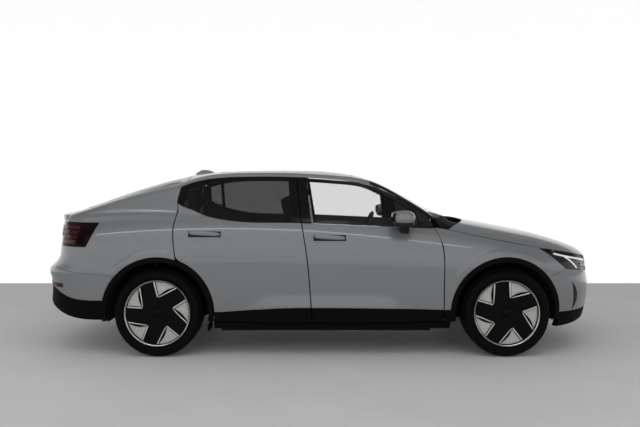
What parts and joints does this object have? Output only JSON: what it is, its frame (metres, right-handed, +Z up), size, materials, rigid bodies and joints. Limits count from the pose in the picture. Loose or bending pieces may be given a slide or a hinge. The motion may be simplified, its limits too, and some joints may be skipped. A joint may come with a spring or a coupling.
{
  "type": "fastback sedan",
  "caption": "Electric fastback sedan with hinged doors, bonnet and tailgate, rolling wheels and steered front wheels.",
  "frame": {"origin": "on the road under the middle of the car's length and width", "axes": "+X forward to the nose, +Y to the car's left, +Z up"},
  "size_m": [4.6084, 1.9816, 1.4816],
  "materials": {
    "body_paint": "mid-grey metallic, glossy clear coat",
    "black_plastic": "matte, fine grain",
    "black_trim": "gloss",
    "cabin_plastic": "matte, soft grain",
    "seat_cover": "woven cloth with stitched seams",
    "clear_glass": "polished",
    "dark_glass": "polished, privacy tint",
    "lamp_clear": "polished",
    "lamp_red": "polished",
    "wheel_alloy": "black gloss with machined edges",
    "tyre": "moulded rubber",
    "frame_paint": "satin underbody paint",
    "cast_alloy": "cast",
    "steel": "cast and machined"
  },
  "bodies": {
    "body": {"body_frame": "frame_paint", "battery_pack": "frame_paint", "drive_units": "cast_alloy", "suspension": "steel", "lower_cladding": "black_plastic", "front_bumper": "body_paint", "headlamps": "lamp_clear", "wings": "body_paint", "cowl": "black_plastic", "windscreen": "clear_glass", "roof": "body_paint", "roof_glass": "dark_glass", "roof_rails": "body_paint", "quarter_panels": "body_paint", "b_pillars": "black_trim", "rear_bumper": "body_paint", "tail_lamps": "lamp_red", "arch_liners": "black_plastic", "dashboard": "cabin_plastic", "front_seats": "seat_cover", "rear_seat": "seat_cover"},
    "steering_wheel": {"steering_wheel": "black_trim"},
    "bonnet": {"bonnet": "body_paint"},
    "tailgate": {"tailgate": "body_paint", "rear_glass": "dark_glass", "lamp_bar": "lamp_red"},
    "door_front_right": {"door_front_right": "body_paint", "glass_front_right": "clear_glass", "mirror_right": "body_paint"},
    "door_rear_right": {"door_rear_right": "body_paint", "glass_rear_right": "dark_glass"},
    "knuckle_right": {"knuckle_right": "steel"},
    "wheel_front_right": {"wheel_front_right": "wheel_alloy", "tyre_front_right": "tyre"},
    "wheel_rear_right": {"wheel_rear_right": "wheel_alloy", "tyre_rear_right": "tyre"},
    "door_front_left": {"door_front_left": "body_paint", "glass_front_left": "clear_glass", "mirror_left": "body_paint"},
    "door_rear_left": {"door_rear_left": "body_paint", "glass_rear_left": "dark_glass"},
    "knuckle_left": {"knuckle_left": "steel"},
    "wheel_front_left": {"wheel_front_left": "wheel_alloy", "tyre_front_left": "tyre"},
    "wheel_rear_left": {"wheel_rear_left": "wheel_alloy", "tyre_rear_left": "tyre"}
  },
  "joints": [
    {"name": "steer_right", "type": "hinge", "parent": "body", "child": "knuckle_right", "pos_m": [1.437, -0.74487, 0.343], "axis": [0, 0, 1], "range_deg": [-35, 35]},
    {"name": "spin_front_right", "type": "hinge", "parent": "knuckle_right", "child": "wheel_front_right", "pos_m": [1.437, -0.8, 0.343], "axis": [0, 1, 0], "continuous": true},
    {"name": "spin_rear_right", "type": "hinge", "parent": "body", "child": "wheel_rear_right", "pos_m": [-1.298, -0.8, 0.343], "axis": [0, 1, 0], "continuous": true},
    {"name": "door_front_right_swing", "type": "hinge", "parent": "body", "child": "door_front_right", "pos_m": [0.882, -0.917, 0.6], "axis": [0, 0, 1], "range_deg": [0, 67]},
    {"name": "door_rear_right_swing", "type": "hinge", "parent": "body", "child": "door_rear_right", "pos_m": [-0.17, -0.9175, 0.6], "axis": [0, 0, 1], "range_deg": [0, 70]},
    {"name": "steer_left", "type": "hinge", "parent": "body", "child": "knuckle_left", "pos_m": [1.437, 0.74487, 0.343], "axis": [0, 0, 1], "range_deg": [-35, 35]},
    {"name": "spin_front_left", "type": "hinge", "parent": "knuckle_left", "child": "wheel_front_left", "pos_m": [1.437, 0.8, 0.343], "axis": [0, 1, 0], "continuous": true},
    {"name": "spin_rear_left", "type": "hinge", "parent": "body", "child": "wheel_rear_left", "pos_m": [-1.298, 0.8, 0.343], "axis": [0, 1, 0], "continuous": true},
    {"name": "door_front_left_swing", "type": "hinge", "parent": "body", "child": "door_front_left", "pos_m": [0.882, 0.917, 0.6], "axis": [0, 0, -1], "range_deg": [0, 67]},
    {"name": "door_rear_left_swing", "type": "hinge", "parent": "body", "child": "door_rear_left", "pos_m": [-0.17, 0.9175, 0.6], "axis": [0, 0, -1], "range_deg": [0, 70]},
    {"name": "steering_wheel_turn", "type": "hinge", "parent": "body", "child": "steering_wheel", "pos_m": [0.40303, 0.36251, 0.91326], "axis": [-0.9135, 0, 0.4067], "range_deg": [-490, 490]},
    {"name": "bonnet_lift", "type": "hinge", "parent": "body", "child": "bonnet", "pos_m": [0.93, 0, 0.985], "axis": [0, -1, 0], "range_deg": [0, 60]},
    {"name": "tailgate_lift", "type": "hinge", "parent": "body", "child": "tailgate", "pos_m": [-1.189, 0, 1.418], "axis": [0, 1, 0], "range_deg": [0, 75]}
  ],
  "couplings": [
    {"joint": "steer_left", "follows": "steer_right", "ratio": 1},
    {"joint": "steering_wheel_turn", "follows": "steer_right", "ratio": 14}
  ]
}
